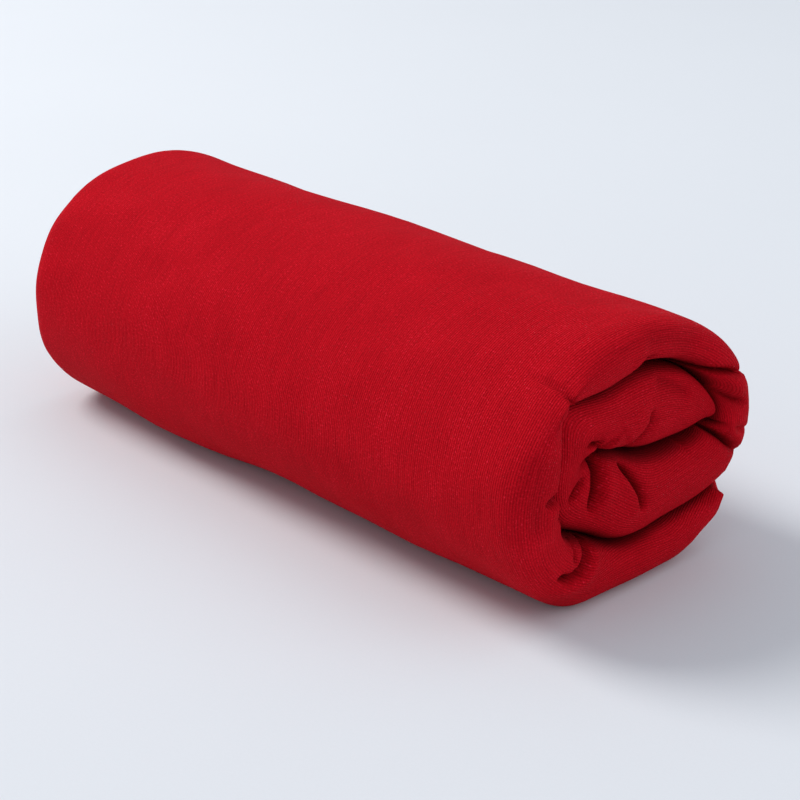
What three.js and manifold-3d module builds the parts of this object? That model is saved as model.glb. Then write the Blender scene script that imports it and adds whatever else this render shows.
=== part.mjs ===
// A roll-up bolster: a flat padded pillow in a zipped jersey cover, rolled up into a bolster.
// Millimetres and degrees. X runs along the roll, +Z is up, and the roll rests on Z = 0.
// The pillow is one long ply that winds inwards from its free edge. A place along it is its
// sweep, the angle it has turned through since the free edge, clockwise as seen from +X.
// Depths are measured inwards from the outside of the cover.

import * as THREE from "three";
import { mergeVertices } from "three/addons/utils/BufferGeometryUtils.js";
import Module from "manifold-3d";

// The roll.
const ROLL_LENGTH = 320;
const ROLL_WIDTH = 138;
const ROLL_HEIGHT = 110;
const ROLL_SINK = 6; // how far its own weight flattens the round underside
const FREE_EDGE_AT = -27; // where the free edge lies, from the horizontal at the back
const ROLL_SWEEP = 675; // the whole sweep, to the edge in the core
const TUCK_FROM = 325; // where the first turn starts to tuck in under the free edge
const STATION_STEP = 15;

// The ply that is rolled.
const PAD_THICKNESS = 24; // of the first turn
const PRESSED_THICKNESS = 18; // of the first turn past its top, where the core leans on it
const PRESSED_FROM = 190;
const PRESSED_TO = 300;
const CORE_THICKNESS = 30; // of the second turn, at its fold: nothing squeezes it there
const FREE_EDGE_THICKNESS = 5;
const FILL_SWEEP = 48; // where the ply reaches its full thickness
const CORE_SLIT = 1.2; // height of the slit that is left in the core
const EDGE_RADIUS = 12; // rounding of both ends of the roll
const EDGE_STEPS = 6;
const PLY_GAP = 0.6; // between one turn and the next

// The layers of the pillow, from the outside in. Each starts and ends at its own sweep.
const COVER_WALL = 1.2;
const COVER_FROM = 1.5; // of its inside
const COVER_END_MARGIN = 8; // how far its inside stops short of the roll's sweep
const COVER_CLEARANCE = 0.5;
const CASING_WALL = 0.5;
const CASING_FROM = 20;
const CASING_END_MARGIN = 10;
const CASING_HEM = 1; // sweep of its wall at the ends
const WADDING_CLEARANCE = 0.3;
const WADDING_FROM = 22;
const WADDING_END_MARGIN = 14;
const FOAM_THICKNESS = 8;
const FOAM_CLEARANCE = 0.3;
const FOAM_FROM = 60;
const FOAM_TO = 605;
const FOAM_END_GAP = 1; // sweep between the foam and the wadding
const FOAM_NEAR_INSET = 18; // how far the wadding wraps past the foam at the near end
const FOAM_FAR_INSET = 6; // how deep the foam lies in the wadding's open far end
const HAND_HOLE_LENGTH = 120;
const HAND_HOLE_WIDTH = 0.8;
const HAND_HOLE_PANEL_TO = 45;
const HAND_HOLE_FROM_PANEL_EDGE = 8;

// The zip, on a flat panel of the cover behind the free edge.
const ZIP_PANEL_FROM = 4;
const ZIP_PANEL_TO = 28;
const ZIP_ROOM = 3.6; // how much deeper the pad lies under the zip
const ZIP_END_MARGIN = 29; // from the end of the roll to the zip's stops
const TOUCH_GAP = 0.3; // between pieces that rest on each other
const CHAIN_WIDTH = 6;
const CHAIN_GAP = 1.4; // between the two coils, where the slider's post runs
const COIL_HEIGHT = 1.5;
const STOP_LENGTH = 2.5;
const TAPE_HALF_WIDTH = 9;
const TAPE_THICKNESS = 0.6;
const TAPE_EDGE_MARGIN = 0.5; // from the panel's edge to the tape
const SLOT_CLEARANCE = 0.5; // between the slider's flanges and the cover's edges
const STITCH_MARGIN = 1.4; // from the cover's edge to the topstitching
const STITCH_WIDTH = 0.6;

// The zip's slider and its pull.
const PLATE_THICKNESS = 1;
const PLATE_LENGTH = 10;
const PLATE_FLARE = 0.4; // how much wider the mouth is than the throat, on each side
const PLATE_CORNER = 1.2;
const FLANGE_WIDTH = 0.7;
const FLANGE_MARGIN = 1.5; // from the ends of the plates to the flanges
const POST_WIDTH = 0.8;
const POST_LENGTH = 3;
const POST_MARGIN = 1; // from the mouth to the post
const CASTING_LAP = 0.1; // how far the pieces of the casting run into each other
const LUG_LENGTH = 7;
const LUG_WIDTH = 1.6;
const LUG_WALL = 0.9;
const LUG_CORNER = 1;
const LUG_EYE_HEIGHT = 2.2;
const PULL_CLEARANCE = 0.5; // between the pull's window and the sides of the lug
const PULL_SWING_ROOM = 1.2; // between the pull's window and the lug as it swings over
const PULL_ARM_WIDTH = 1.7;
const PULL_REACH = 15.5; // from its pivot to its tip
const PULL_THICKNESS = 1;
const PULL_TAPER = 0.8;
const PULL_TIP = 2;
const PULL_HOLE_RADIUS = 1.2;
const PULL_HOLE_MARGIN = 2; // from the tip to the edge of the hole
const SLIDER_END_GAP = 1; // between the closed slider and the top stops
const CURVE_SEGMENTS = 4;

const LABEL_LENGTH = 12;
const LABEL_WIDTH = 16;
const LABEL_THICKNESS = 0.4;
const LABEL_FROM_STOP = 2;

const TURN = 360;
const SEMI_HEIGHT = (ROLL_HEIGHT + ROLL_SINK) / 2;
const CENTRE_HEIGHT = ROLL_HEIGHT - SEMI_HEIGHT;
const CASING_DEPTH = COVER_WALL + COVER_CLEARANCE;
const WADDING_DEPTH = CASING_DEPTH + CASING_WALL + WADDING_CLEARANCE;

const { clamp, degToRad } = THREE.MathUtils;
const wasm = await Module();
wasm.setup();

function smooth(x) {
  const t = clamp(x, 0, 1);
  return t * t * (3 - 2 * t);
}

// ---- The spiral -------------------------------------------------------------------------

const SLIT_FROM = TURN + FREE_EDGE_AT; // where the ply turns in over the end of the slit

function firstTurnThickness(sweep) {
  const filled = Math.sin(degToRad(90 * clamp(sweep / FILL_SWEEP, 0, 1)));
  const pressed = smooth((sweep - PRESSED_FROM) / (PRESSED_TO - PRESSED_FROM));
  const full = FREE_EDGE_THICKNESS + (PAD_THICKNESS - FREE_EDGE_THICKNESS) * filled;
  return full - (PAD_THICKNESS - PRESSED_THICKNESS) * pressed;
}

// How far the ply's outer face lies inside the roll's outline. The second turn lies on the first.
function inset(sweep) {
  if (sweep < TURN) {
    const tucked = smooth((sweep - TUCK_FROM) / (TURN - TUCK_FROM));
    return (FREE_EDGE_THICKNESS + PLY_GAP) * tucked;
  }
  return inset(sweep - TURN) + firstTurnThickness(sweep - TURN) + PLY_GAP;
}

// A point in the section of the roll, on an oval about the roll's axis.
function ovalPoint(sweep, centre, halfWidth, halfHeight) {
  const angle = degToRad(FREE_EDGE_AT - sweep);
  const y = centre + halfWidth * Math.cos(angle);
  return new THREE.Vector2(y, CENTRE_HEIGHT + halfHeight * Math.sin(angle));
}

// Where the soft inside of the roll has settled, as (Y, height over the axis), how far it has
// moved there and over what reach.
const SETTLED = [
  { at: [-34, 26], move: [-5, 7], reach: 16 },
  { at: [-22, -27], move: [1, 5], reach: 16 },
  { at: [-14, 2], move: [-3, 10], reach: 18 },
  { at: [50, 0], move: [-2, 4], reach: 10 },
];
const SETTLED_WITHIN = 0.72; // of the way out to the roll's outline, which keeps its shape

function settled(point) {
  const y = point.x;
  const z = point.y - CENTRE_HEIGHT;
  const out = Math.hypot(y / (ROLL_WIDTH / 2), z / SEMI_HEIGHT);
  const share = 1 - smooth((out - SETTLED_WITHIN) / (1 - SETTLED_WITHIN));
  for (const { at, move, reach } of SETTLED) {
    const near = Math.exp(-(Math.hypot(y - at[0], z - at[1]) ** 2) / reach ** 2);
    point.x += move[0] * near * share;
    point.y += move[1] * near * share;
  }
  return point;
}

function outerFace(sweep) {
  const face = ovalPoint(sweep, 0, ROLL_WIDTH / 2 - inset(sweep), SEMI_HEIGHT - inset(sweep));
  if (sweep < TURN) face.y = Math.max(face.y, 0);
  return settled(face);
}

// The second turn closes up to a slit in the core, which reaches from the first turn to the fold.
function innerFace(sweep) {
  if (sweep < SLIT_FROM) {
    const depth = inset(sweep) + firstTurnThickness(sweep);
    return settled(ovalPoint(sweep, 0, ROLL_WIDTH / 2 - depth, SEMI_HEIGHT - depth));
  }
  const near = ROLL_WIDTH / 2 - firstTurnThickness(SLIT_FROM);
  const fold = CORE_THICKNESS + PLY_GAP - near;
  return settled(ovalPoint(sweep, (near + fold) / 2, (near - fold) / 2, CORE_SLIT / 2));
}

function plyThickness(sweep) {
  return outerFace(sweep).distanceTo(innerFace(sweep));
}

// A point of the ply at a station. Side is 1 on its outer face and -1 on its inner face, and
// wall is how far inside both faces the layer lies.
function stationPoint(sweep, x, side, wall) {
  const half = plyThickness(sweep) / 2;
  const depth = half - side * (half - wall);
  const place = outerFace(sweep).lerp(innerFace(sweep), depth / (2 * half));
  return new THREE.Vector3(x, place.x, place.y);
}

// Every turn has its stations at the same angles, so that the turns nest without touching.
function turnStations() {
  const stations = [0, ZIP_PANEL_FROM, ZIP_PANEL_TO];
  for (let s = STATION_STEP; s < TURN; s += STATION_STEP) {
    if (s > ZIP_PANEL_TO + STATION_STEP / 3) stations.push(s);
  }
  return stations;
}

const STATIONS = [0, TURN].flatMap((turn) => turnStations().map((s) => s + turn));

// A point of the ply anywhere along it, on the flat between its neighbouring stations.
function plyPoint(sweep, x, side, wallAt) {
  const next = STATIONS.findIndex((s) => s >= sweep);
  const after = STATIONS[next];
  const end = stationPoint(after, x, side, wallAt(after));
  if (after === sweep) return end;
  const before = STATIONS[next - 1];
  const start = stationPoint(before, x, side, wallAt(before));
  return start.lerp(end, (sweep - before) / (after - before));
}

// ---- Solids -----------------------------------------------------------------------------

// The rounded loop round a layer of the ply, as places along the roll and across the ply.
function roundedProfile(wall) {
  const flat = ROLL_LENGTH / 2 - EDGE_RADIUS;
  const profile = [];
  for (const end of [1, -1]) {
    for (let i = 0; i <= EDGE_STEPS; i++) {
      const turn = Math.PI * (0.5 - i / EDGE_STEPS);
      const x = end * (flat + (EDGE_RADIUS - wall) * Math.cos(turn));
      profile.push({ x, side: end * Math.sin(turn) });
    }
  }
  return profile;
}

function slabProfile(far, near) {
  return [
    { x: near, side: 1 },
    { x: near, side: -1 },
    { x: far, side: -1 },
    { x: far, side: 1 },
  ];
}

// A closed body swept along the ply from one sweep to another.
function plyGeometry(from, to, profile, wallAt) {
  const sweeps = [from, ...STATIONS.filter((s) => s > from && s < to), to];
  const n = profile.length;
  const positions = [];
  const index = [];
  for (const sweep of sweeps) {
    for (const { x, side } of profile) {
      positions.push(...plyPoint(sweep, x, side, wallAt).toArray());
    }
  }
  for (let i = 0; i + 1 < sweeps.length; i++) {
    for (let j = 0; j < n; j++) {
      const a = i * n + j;
      const b = i * n + ((j + 1) % n);
      index.push(a, b, a + n, b, b + n, a + n);
    }
  }
  const last = (sweeps.length - 1) * n;
  for (let j = 1; j + 1 < n; j++) {
    index.push(0, j + 1, j);
    index.push(last, last + j, last + j + 1);
  }
  const geometry = new THREE.BufferGeometry();
  geometry.setAttribute("position", new THREE.Float32BufferAttribute(positions, 3));
  return geometry.setIndex(index);
}

function solid(geometry) {
  const bare = geometry.clone();
  bare.deleteAttribute("normal");
  bare.deleteAttribute("uv");
  const merged = mergeVertices(bare, 1e-4);
  return new wasm.Manifold(
    new wasm.Mesh({
      numProp: 3,
      vertProperties: merged.attributes.position.array,
      triVerts: new Uint32Array(merged.index.array),
    }),
  );
}

function geometryOf(manifold) {
  const mesh = manifold.getMesh();
  const geometry = new THREE.BufferGeometry();
  geometry.setAttribute("position", new THREE.BufferAttribute(mesh.vertProperties, 3));
  geometry.setIndex(new THREE.BufferAttribute(mesh.triVerts, 1));
  geometry.computeVertexNormals();
  return geometry;
}

// A box between two corners.
function box(low, high) {
  const size = high.map((v, i) => v - low[i]);
  const centre = high.map((v, i) => (v + low[i]) / 2);
  return new THREE.BoxGeometry(...size).translate(...centre);
}

function fabric(colour, roughness) {
  return new THREE.MeshStandardMaterial({ color: colour, roughness, metalness: 0 });
}

function metal(colour) {
  return new THREE.MeshStandardMaterial({ color: colour, roughness: 0.35, metalness: 1 });
}

function part(name, geometry, material) {
  const mesh = new THREE.Mesh(geometry, material);
  mesh.name = name;
  return mesh;
}

// ---- The flat panels --------------------------------------------------------------------

// The frame of the flat between two stations: X along the roll, Y along the ply away from the
// free edge, Z out of the cover. Its origin lies on the cover's outer face.
function panelFrame(from, to, along) {
  const wallAt = () => 0;
  const start = plyPoint(from, 0, 1, wallAt);
  const end = plyPoint(to, 0, 1, wallAt);
  const xAxis = new THREE.Vector3(1, 0, 0);
  const yAxis = end.clone().sub(start).normalize();
  const zAxis = new THREE.Vector3().crossVectors(xAxis, yAxis);
  const frame = new THREE.Matrix4().makeBasis(xAxis, yAxis, zAxis);
  return frame.setPosition(start.addScaledVector(yAxis, along));
}

const ZIP_FROM_PANEL_EDGE = TAPE_HALF_WIDTH + TAPE_EDGE_MARGIN;
const ZIP_FRAME = panelFrame(ZIP_PANEL_FROM, ZIP_PANEL_TO, ZIP_FROM_PANEL_EDGE);

const TAPE_TOP = -COVER_WALL - TOUCH_GAP;
const TAPE_BOTTOM = TAPE_TOP - TAPE_THICKNESS;
const COIL_BOTTOM = TAPE_TOP + TOUCH_GAP;
const COIL_TOP = COIL_BOTTOM + COIL_HEIGHT;
const PLATE_BOTTOM = COIL_TOP + TOUCH_GAP;
const PLATE_TOP = PLATE_BOTTOM + PLATE_THICKNESS;
const KEEPER_TOP = TAPE_BOTTOM - TOUCH_GAP;
const KEEPER_BOTTOM = KEEPER_TOP - PLATE_THICKNESS;
const FLANGE_INNER = CHAIN_WIDTH / 2 + TOUCH_GAP;
const FLANGE_OUTER = FLANGE_INNER + FLANGE_WIDTH;
const SLOT_HALF_WIDTH = FLANGE_OUTER + SLOT_CLEARANCE;
const STITCH_FROM = SLOT_HALF_WIDTH + STITCH_MARGIN;
const PIVOT_HEIGHT = PLATE_TOP + LUG_EYE_HEIGHT / 2;
const STOP_END = ROLL_LENGTH / 2 - ZIP_END_MARGIN;
const CHAIN_END = STOP_END - STOP_LENGTH - TOUCH_GAP;
const SLIDER_AT = CHAIN_END - SLIDER_END_GAP - PLATE_LENGTH / 2;

// ---- The soft layers --------------------------------------------------------------------

function jerseyCover() {
  const insideTo = ROLL_SWEEP - COVER_END_MARGIN;
  const outside = solid(plyGeometry(0, ROLL_SWEEP, roundedProfile(0), () => 0));
  const profile = roundedProfile(COVER_WALL);
  const inside = solid(plyGeometry(COVER_FROM, insideTo, profile, () => COVER_WALL));
  const slotEnd = STOP_END + 2 * TOUCH_GAP;
  const cut = COVER_WALL + TOUCH_GAP;
  const slot = box([-slotEnd, -SLOT_HALF_WIDTH, -cut], [slotEnd, SLOT_HALF_WIDTH, cut]);
  const shell = outside.subtract(inside).subtract(solid(slot.applyMatrix4(ZIP_FRAME)));
  return part("jersey_cover", geometryOf(shell), fabric(0xb01020, 0.85));
}

// The pad lies deeper in the cover under the zip, to leave room for the slider.
function padWall(depth) {
  return (sweep) => (sweep < ZIP_PANEL_TO ? depth + ZIP_ROOM : depth);
}

function padCasing() {
  const from = CASING_FROM;
  const to = ROLL_SWEEP - CASING_END_MARGIN;
  const inner = CASING_DEPTH + CASING_WALL;
  const outside = plyGeometry(from, to, roundedProfile(CASING_DEPTH), padWall(CASING_DEPTH));
  const inside = plyGeometry(
    from + CASING_HEM,
    to - CASING_HEM,
    roundedProfile(inner),
    padWall(inner),
  );
  const frame = panelFrame(ZIP_PANEL_TO, HAND_HOLE_PANEL_TO, HAND_HOLE_FROM_PANEL_EDGE);
  const halfHole = HAND_HOLE_LENGTH / 2;
  const halfWidth = HAND_HOLE_WIDTH / 2;
  const low = [-halfHole, -halfWidth, -inner - WADDING_CLEARANCE];
  const hole = box(low, [halfHole, halfWidth, WADDING_CLEARANCE - CASING_DEPTH]);
  const shell = solid(outside).subtract(solid(inside)).subtract(solid(hole.applyMatrix4(frame)));
  return part("pad_casing", geometryOf(shell), fabric(0xece6da, 0.9));
}

function foamProfile(clearance, farEnd) {
  return slabProfile(farEnd, ROLL_LENGTH / 2 - FOAM_NEAR_INSET + clearance);
}

function foamWall(clearance) {
  return (sweep) => (plyThickness(sweep) - FOAM_THICKNESS) / 2 - clearance;
}

function waddingWrap() {
  const to = ROLL_SWEEP - WADDING_END_MARGIN;
  const profile = roundedProfile(WADDING_DEPTH);
  const outside = plyGeometry(WADDING_FROM, to, profile, padWall(WADDING_DEPTH));
  const pocket = plyGeometry(
    FOAM_FROM - FOAM_END_GAP,
    FOAM_TO + FOAM_END_GAP,
    foamProfile(FOAM_CLEARANCE, -ROLL_LENGTH / 2),
    foamWall(FOAM_CLEARANCE),
  );
  const wrap = solid(outside).subtract(solid(pocket));
  return part("wadding_wrap", geometryOf(wrap), fabric(0xf4f2ee, 1));
}

function foamCore() {
  const farEnd = FOAM_FAR_INSET + WADDING_DEPTH - ROLL_LENGTH / 2;
  const slab = plyGeometry(FOAM_FROM, FOAM_TO, foamProfile(0, farEnd), foamWall(0));
  slab.computeVertexNormals();
  return part("foam_core", slab, fabric(0xf0dc98, 1));
}

function careLabel() {
  const from = STOP_END + LABEL_FROM_STOP;
  const top = -COVER_WALL - TOUCH_GAP;
  const low = [from, -LABEL_WIDTH / 2, top - LABEL_THICKNESS];
  const high = [from + LABEL_LENGTH, LABEL_WIDTH / 2, top];
  return part("care_label", box(low, high), fabric(0xf6f6f4, 0.6));
}

// ---- The zip ----------------------------------------------------------------------------

const TAPE_CLOTH = fabric(0x98101c, 0.9);
const COIL_NYLON = fabric(0x8a0f1a, 0.45);
const THREAD = fabric(0xa81222, 0.8);
const ZINC = metal(0xb8babd);

// The two halves of the zip mirror each other about the line where they meet.
function zipHalf(name, sign) {
  const strip = (endX, near, far, bottom, top) => {
    const [low, high] = [sign * near, sign * far].sort((a, b) => a - b);
    return box([-STOP_END, low, bottom], [endX, high, top]);
  };
  const tape = strip(STOP_END, CHAIN_GAP / 2, TAPE_HALF_WIDTH, TAPE_BOTTOM, TAPE_TOP);
  const stopEnd = -CHAIN_END - TOUCH_GAP;
  const stop = strip(stopEnd, CHAIN_GAP / 2, CHAIN_WIDTH / 2, COIL_BOTTOM, COIL_TOP);
  const threadTop = TOUCH_GAP + STITCH_WIDTH;
  const thread = strip(STOP_END, STITCH_FROM, STITCH_FROM + STITCH_WIDTH, TOUCH_GAP, threadTop);
  const [low, high] = [sign * CHAIN_GAP, sign * CHAIN_WIDTH].sort((a, b) => a - b);
  const coil = box([-CHAIN_END, low / 2, COIL_BOTTOM], [CHAIN_END, high / 2, COIL_TOP]);
  return [
    part("zip_tape_" + name, tape, TAPE_CLOTH),
    part("zip_coil_" + name, coil, COIL_NYLON),
    part("zip_top_stop_" + name, stop, ZINC),
    part("zip_topstitch_" + name, thread, THREAD),
  ];
}

function zipBottomStop() {
  const low = [CHAIN_END + TOUCH_GAP, -CHAIN_WIDTH / 2, COIL_BOTTOM];
  const high = [STOP_END, CHAIN_WIDTH / 2, COIL_TOP];
  return part("zip_bottom_stop", box(low, high), ZINC);
}

function extruded(shape, depth) {
  const options = { depth, bevelEnabled: false, curveSegments: CURVE_SEGMENTS };
  return new THREE.ExtrudeGeometry(shape, options);
}

// A plate of the slider, wide at the mouth and narrower at the throat.
function sliderPlate(bottom) {
  const half = PLATE_LENGTH / 2;
  const throat = FLANGE_OUTER;
  const mouth = throat + PLATE_FLARE;
  const corner = PLATE_CORNER;
  const outline = new THREE.Shape();
  outline.moveTo(half - corner, mouth);
  outline.quadraticCurveTo(half, mouth, half, mouth - corner);
  outline.lineTo(half, corner - mouth);
  outline.quadraticCurveTo(half, -mouth, half - corner, -mouth);
  outline.lineTo(corner - half, -throat);
  outline.quadraticCurveTo(-half, -throat, -half, corner - throat);
  outline.lineTo(-half, throat - corner);
  outline.quadraticCurveTo(-half, throat, corner - half, throat);
  return extruded(outline, PLATE_THICKNESS).translate(0, 0, bottom);
}

// The arch that holds the pull, drawn along the zip and extruded across it.
function sliderLug() {
  const half = LUG_LENGTH / 2;
  const top = LUG_EYE_HEIGHT + LUG_WALL;
  const arch = new THREE.Shape();
  arch.moveTo(-half, -CASTING_LAP);
  arch.lineTo(half, -CASTING_LAP);
  arch.lineTo(half, top - LUG_CORNER);
  arch.quadraticCurveTo(half, top, half - LUG_CORNER, top);
  arch.lineTo(LUG_CORNER - half, top);
  arch.quadraticCurveTo(-half, top, -half, top - LUG_CORNER);
  const inner = half - LUG_WALL;
  const eye = new THREE.Path();
  eye.moveTo(-inner, 0);
  eye.lineTo(-inner, LUG_EYE_HEIGHT);
  eye.lineTo(inner, LUG_EYE_HEIGHT);
  eye.lineTo(inner, 0);
  arch.holes.push(eye);
  const lug = extruded(arch, LUG_WIDTH).translate(0, 0, -LUG_WIDTH / 2);
  return lug.rotateX(Math.PI / 2).translate(0, 0, PLATE_TOP);
}

function zipSliderBody() {
  const half = PLATE_LENGTH / 2;
  const flangeEnd = half - FLANGE_MARGIN;
  const top = PLATE_BOTTOM + CASTING_LAP;
  const flange = (side) => {
    const [low, high] = [side * FLANGE_INNER, side * FLANGE_OUTER].sort((a, b) => a - b);
    return box([-flangeEnd, low, COIL_BOTTOM], [flangeEnd, high, top]);
  };
  const postEnd = half - POST_MARGIN;
  const post = box(
    [postEnd - POST_LENGTH, -POST_WIDTH / 2, KEEPER_TOP - CASTING_LAP],
    [postEnd, POST_WIDTH / 2, top],
  );
  const body = solid(sliderPlate(PLATE_BOTTOM))
    .add(solid(sliderPlate(KEEPER_BOTTOM)))
    .add(solid(sliderLug()))
    .add(solid(flange(1)))
    .add(solid(flange(-1)))
    .add(solid(post));
  return part("zip_slider_body", geometryOf(body), ZINC);
}

// The pull hangs straight out from its pivot. It is drawn across the zip and extruded along it.
function zipPullTab() {
  const opening = LUG_WIDTH / 2 + PULL_CLEARANCE;
  const half = opening + PULL_ARM_WIDTH;
  const tip = half - PULL_TAPER;
  const bar = PULL_THICKNESS / 2;
  const lugReach = Math.hypot(LUG_LENGTH / 2, LUG_EYE_HEIGHT / 2 + LUG_WALL);
  const windowEnd = lugReach + PULL_SWING_ROOM;
  const outline = new THREE.Shape();
  outline.moveTo(-half, -bar);
  outline.lineTo(half, -bar);
  outline.lineTo(half, windowEnd);
  outline.lineTo(tip, PULL_REACH - PULL_TIP);
  outline.quadraticCurveTo(tip, PULL_REACH, 0, PULL_REACH);
  outline.quadraticCurveTo(-tip, PULL_REACH, -tip, PULL_REACH - PULL_TIP);
  outline.lineTo(-half, windowEnd);
  const window = new THREE.Path();
  window.moveTo(-opening, bar);
  window.lineTo(-opening, windowEnd);
  window.lineTo(opening, windowEnd);
  window.lineTo(opening, bar);
  const holeAt = PULL_REACH - PULL_HOLE_MARGIN - PULL_HOLE_RADIUS;
  const hole = new THREE.Path().absarc(0, holeAt, PULL_HOLE_RADIUS, 0, 2 * Math.PI, true);
  outline.holes.push(window, hole);
  const tab = extruded(outline, PULL_THICKNESS).translate(0, 0, -PULL_THICKNESS / 2);
  tab.rotateX(Math.PI / 2).rotateZ(Math.PI / 2).translate(0, 0, PIVOT_HEIGHT);
  return part("zip_pull_tab", tab, ZINC);
}

// ---- The assembly -----------------------------------------------------------------------

const slider = new THREE.Group();
slider.position.x = -SLIDER_AT;
slider.rotation.z = Math.PI; // its mouth faces the top stops
slider.add(zipSliderBody(), zipPullTab());

const zip = new THREE.Group();
zip.applyMatrix4(ZIP_FRAME);
zip.add(...zipHalf("edge_side", -1), ...zipHalf("pad_side", 1), zipBottomStop(), careLabel(), slider);

const roll = new THREE.Group();
roll.add(jerseyCover(), padCasing(), waddingWrap(), foamCore(), zip);

// The origin lies under the middle of the roll.
const bounds = new THREE.Box3().setFromObject(roll, true);
roll.position.y = -(bounds.min.y + bounds.max.y) / 2;

const bolster = new THREE.Group();
bolster.add(roll);

export default bolster;
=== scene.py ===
"""A roll-up bolster: a flat padded pillow in a zipped jersey cover, rolled up on itself.

Run as a script inside Blender. Lengths are in metres and sweeps in degrees. X runs along the
roll and the roll rests on Z = 0. A sweep is the angle that the pillow has turned through since
its free edge, clockwise as seen from +X. The near end of the roll is the one at +X.
"""

import math

import bpy
import numpy as np
from mathutils import Matrix, Vector


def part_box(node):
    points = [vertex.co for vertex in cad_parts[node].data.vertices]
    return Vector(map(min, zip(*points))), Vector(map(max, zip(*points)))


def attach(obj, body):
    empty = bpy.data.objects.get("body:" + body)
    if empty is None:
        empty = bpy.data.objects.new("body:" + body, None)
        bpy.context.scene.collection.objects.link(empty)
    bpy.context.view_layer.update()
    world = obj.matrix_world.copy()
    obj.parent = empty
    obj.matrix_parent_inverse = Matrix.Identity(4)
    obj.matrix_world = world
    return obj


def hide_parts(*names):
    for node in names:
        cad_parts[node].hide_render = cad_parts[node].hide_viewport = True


bl_info = {
    "name": "Roll-up Bolster",
    "version": (1, 0, 0),
    "blender": (4, 5, 0),
    "location": "View3D > Sidebar > Bolster",
    "description": "Builds a rolled pillow in a jersey cover round its packed frame",
    "category": "Add Mesh",
}

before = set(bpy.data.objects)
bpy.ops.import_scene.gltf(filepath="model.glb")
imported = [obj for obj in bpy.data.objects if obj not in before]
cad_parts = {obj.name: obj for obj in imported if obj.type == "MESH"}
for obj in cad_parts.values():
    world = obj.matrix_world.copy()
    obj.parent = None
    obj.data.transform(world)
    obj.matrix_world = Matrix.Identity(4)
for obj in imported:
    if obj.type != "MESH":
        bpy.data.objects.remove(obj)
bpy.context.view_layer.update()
COVER_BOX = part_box("jersey_cover")

MM = 0.001
TURN = 360.0

# ---- Sizes that the frame was built to ----------------------------------------------------

FREE_EDGE_AT = -27.0
ROLL_SWEEP = 675.0
TUCK_FROM = 325.0
SLIT_FROM = TURN + FREE_EDGE_AT
FILL_SWEEP = 48.0
PRESSED_FROM = 190.0
PRESSED_TO = 300.0
AXIS_Y = 0.15 * MM
ROLL_SINK = 6 * MM
FREE_EDGE_THICKNESS = 5 * MM
CORE_SLIT = 1.2 * MM
COVER_WALL = 1.2 * MM
CASING_WALL = 0.5 * MM
ZIP_PANEL_FROM = 4.0
ZIP_PANEL_TO = 28.0
ZIP_FROM_PANEL_EDGE = 9.5 * MM
SLOT_HALF_WIDTH = 4.5 * MM
SLOT_HALF_LENGTH = 131.6 * MM
STITCH_AT = 6.2 * MM
STOP_END = 131 * MM
CHAIN_END = 128.2 * MM
STOP_CLEARANCE = 0.3 * MM
TAPE_TOP = -1.5 * MM
TAPE_BOTTOM = -2.1 * MM
TAPE_HALF_WIDTH = 9 * MM
COIL_BOTTOM = -1.2 * MM
COIL_TOP = 0.3 * MM
CHAIN_HALF_WIDTH = 3 * MM
LABEL_TOP = -1.5 * MM
LABEL_THICKNESS = 0.4 * MM
LABEL_HALF_WIDTH = 8 * MM
LABEL_FROM = 133 * MM
LABEL_TO = 145 * MM
CASING_DEPTH = 1.7 * MM
CASING_FROM = 20.0
CASING_END_MARGIN = 10.0
WADDING_DEPTH = 2.5 * MM
WADDING_FROM = 22.0
WADDING_END_MARGIN = 14.0
FOAM_THICKNESS = 8 * MM
FOAM_FROM = 60.0
FOAM_TO = 605.0
FOAM_CLEARANCE = 0.3 * MM
# Where the inside has settled: (Y, height over the axis), its move there and its reach, in mm.
SETTLED = (
    ((-34, 26), (-5, 7), 16),
    ((-22, -27), (1, 5), 16),
    ((-14, 2), (-3, 10), 18),
    ((50, 0), (-2, 4), 10),
)
SETTLED_WITHIN = 0.72

# ---- Sizes of the soft pieces and the stage -------------------------------------------------

# How much longer the cover is than the pad, at its near end and its far end. The foam is
# shorter still, and ends inside the wadding.
SLACK = (12 * MM, 11 * MM)
FOAM_NEAR_END = 133 * MM
FOAM_FAR_END = 141 * MM
FLAT_HALF = 142 * MM
FOAM_FLAT_HALF = 138 * MM
FLAT_SPACING = 11 * MM
COVER_STEP = 1.2
LINING_STEP = 4.5
COVER_CAP_STEPS = (50, 22)
LINING_CAP_STEPS = (10, 10)
SLAB_CAP_STEPS = (4, 4)
SLOT_END_COLUMNS = np.array([-0.6, 0.4, 1.4, 2.4]) * MM
ZIP_CLEAR_OF_FILL = 34.0
TROUGH_DEPTH = 4.1 * MM
# How far out the ends reach, less what they swell out to fill the cover's box.
NEAR_REACH = COVER_BOX[1].x - 4.5 * MM
FAR_REACH = -COVER_BOX[0].x - 1.4 * MM
CREASES_FROM = 131 * MM
CREASES_FADE = 16 * MM
FLOOR_SIDE = 60.0
FLOOR_CELLS = 48
FLOOR_TOP = -0.15 * MM
# Each lamp's name, place, size, power and tint.
LAMPS = (
    ("key", (-1.75, -0.75, 2.0), 1.3, 50.0, (1.0, 0.985, 0.97)),
    ("fill", (2.0, 0.9, 1.2), 2.2, 10.0, (0.93, 0.96, 1.0)),
    ("back", (0.2, 1.6, 2.2), 2.4, 4.0, (0.95, 0.97, 1.0)),
)
SKY = (0.86, 0.92, 1.0, 1.0)
SKY_STRENGTH = 0.6
CAMERA_AZIMUTH = 47.0
CAMERA_ELEVATION = 23.4
CAMERA_AWAY = 0.860
CAMERA_RIGHT = 0.0153
CAMERA_DOWN = 0.0219
CAMERA_LENS = 90


def colour_property(name, description, default):
    """A colour that the sidebar shows."""
    return bpy.props.FloatVectorProperty(
        name=name, description=description, default=default, subtype="COLOR", size=3, min=0, max=1
    )


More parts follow.
